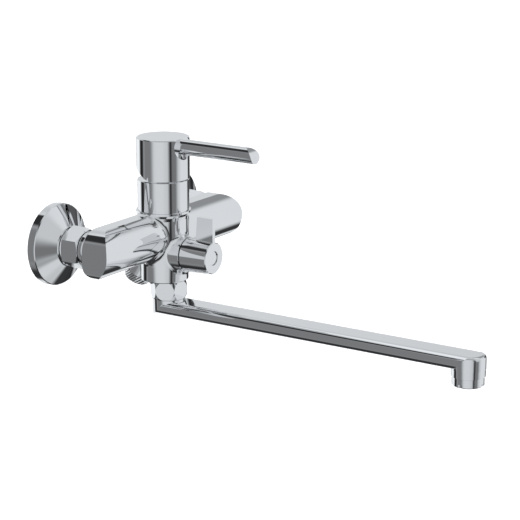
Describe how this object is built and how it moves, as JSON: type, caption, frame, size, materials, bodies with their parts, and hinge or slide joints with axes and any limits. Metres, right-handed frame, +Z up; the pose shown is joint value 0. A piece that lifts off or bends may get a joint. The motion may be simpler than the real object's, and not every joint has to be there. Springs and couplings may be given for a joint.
{
  "type": "wall mounted bath faucet",
  "caption": "Wall mounted bath mixer: bar body on two wall unions, single lever on top, rotary diverter knob in front, long flat swivel spout with aerator and a shower outlet below.",
  "frame": {"origin": "on the wall plane, midway between the two inlet axes of the mixer", "axes": "+X to the user's right along the wall, -Y away from the wall towards the user (the wall is Y = 0, the threads go into it towards +Y), +Z up"},
  "size_m": [0.213, 0.3465, 0.1526],
  "materials": {
    "chrome": "polished",
    "brass": "machined",
    "steel": "machined",
    "rubber": "matte",
    "plastic": "moulded",
    "ceramic": "lapped"
  },
  "bodies": {
    "mixer": {"valve_body": "chrome", "wall_flange_left": "chrome", "eccentric_union_left": "chrome", "filter_washer_left": "rubber", "inlet_tail_left": "brass", "union_nut_left": "chrome", "wall_flange_right": "chrome", "eccentric_union_right": "chrome", "filter_washer_right": "rubber", "inlet_tail_right": "brass", "union_nut_right": "chrome", "cartridge_gasket": "rubber", "cartridge_base": "plastic", "fixed_ceramic_disc": "ceramic", "cartridge_housing": "plastic", "cartridge_clamp_nut": "brass", "trim_sleeve": "chrome", "diverter_seat_seal": "rubber", "diverter_fixed_disc": "ceramic", "diverter_headwork": "brass", "spout_nut": "chrome", "shower_nipple": "chrome", "shower_nipple_seal": "rubber", "shower_check_valve": "plastic"},
    "rotor": {"cartridge_rotor": "plastic", "stem_pivot_pin": "steel"},
    "mixing_disc": {"moving_ceramic_disc": "ceramic", "disc_carrier": "plastic"},
    "handle": {"handle_cap": "chrome", "grub_screw": "steel", "lever_rod": "chrome", "cartridge_stem": "steel"},
    "diverter": {"diverter_knob": "chrome", "knob_screw": "steel", "knob_screw_cap": "chrome", "diverter_spindle": "brass", "diverter_moving_disc": "ceramic", "spindle_o_ring": "rubber"},
    "spout": {"spout": "chrome", "spout_o_ring_upper": "rubber", "spout_o_ring_lower": "rubber", "spout_split_ring": "brass", "spout_slip_washer": "plastic", "aerator_housing": "chrome", "aerator_insert": "plastic", "aerator_mesh": "steel", "aerator_seal": "rubber"}
  },
  "joints": [
    {"name": "temperature_turn", "type": "hinge", "parent": "mixer", "child": "rotor", "pos_m": [0, -0.0499, 0.039], "axis": [0, 0, 1], "range_deg": [-45, 45]},
    {"name": "lever_lift", "type": "hinge", "parent": "rotor", "child": "handle", "pos_m": [0, -0.0499, 0.039], "axis": [-1, 0, 0], "range_deg": [0, 25]},
    {"name": "disc_slide", "type": "slide", "parent": "rotor", "child": "mixing_disc", "axis": [0, -1, 0], "range_m": [0, 0.0045]},
    {"name": "diverter_turn", "type": "hinge", "parent": "mixer", "child": "diverter", "pos_m": [0, -0.0733, -0.0146], "axis": [0, -1, 0], "range_deg": [-90, 90]},
    {"name": "spout_swivel", "type": "hinge", "parent": "mixer", "child": "spout", "pos_m": [0, -0.0539, -0.05], "axis": [0, 0, 1], "range_deg": [-90, 90]}
  ],
  "couplings": [
    {"joint": "disc_slide", "follows": "lever_lift", "m_per_rad": 0.01}
  ]
}
